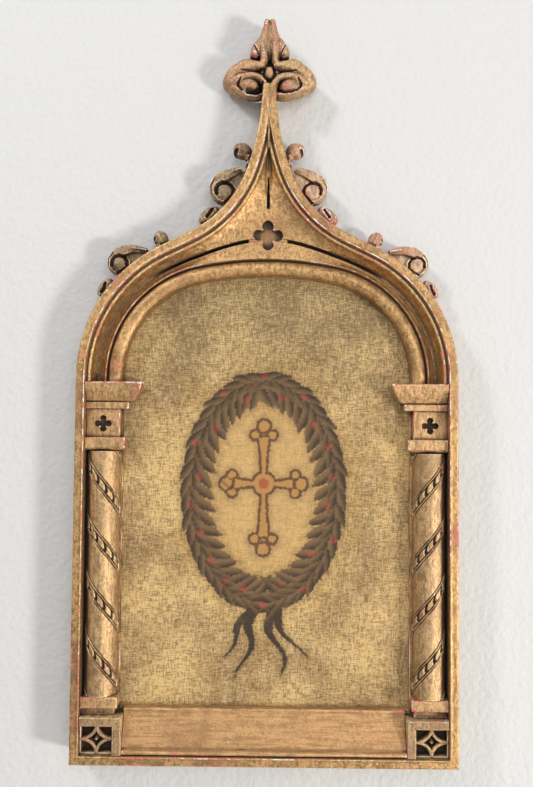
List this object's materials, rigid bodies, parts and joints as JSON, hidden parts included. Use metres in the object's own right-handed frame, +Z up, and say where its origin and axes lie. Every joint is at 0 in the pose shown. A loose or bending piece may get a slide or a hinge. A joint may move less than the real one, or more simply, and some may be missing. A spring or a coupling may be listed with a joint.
{
  "type": "religious wall plaque",
  "caption": "Gilded Gothic wall plaque: an arched painted panel between two half columns under an ogee gable with crockets and a leaf finial; hangs flat on a wall.",
  "frame": {"origin": "the hanging point: on the flat back, on the middle line, behind the gable's sunk quatrefoil", "axes": "+Z up the plaque, the carved front faces -Y, the wall is the plane y = 0, +X to the viewer's right"},
  "size_m": [0.305, 0.028, 0.5998],
  "materials": {
    "gilded_wood": "water gilding over red bole on carved softwood, worn through at the edges to bole and white gesso",
    "dulled_gilding": "the same gilding dulled by dirt in the pierced work",
    "darkened_gilding": "gilding darkened to grey-brown patina with worn gold high spots",
    "canvas": "aged ochre linen on a thin board, matt, with a painted device"
  },
  "bodies": {
    "root": {"gable_frame": "gilded_wood", "picture_panel": "canvas", "sill_rail": "gilded_wood", "capital_left": "gilded_wood", "capital_right": "gilded_wood", "column_left": "gilded_wood", "column_right": "gilded_wood", "column_base_left": "gilded_wood", "column_base_right": "gilded_wood", "corner_tracery_left": "dulled_gilding", "corner_tracery_right": "dulled_gilding", "crocket_shoulder_left": "darkened_gilding", "crocket_shoulder_right": "darkened_gilding", "crocket_upper_left": "darkened_gilding", "crocket_upper_right": "darkened_gilding"}
  },
  "joints": []
}
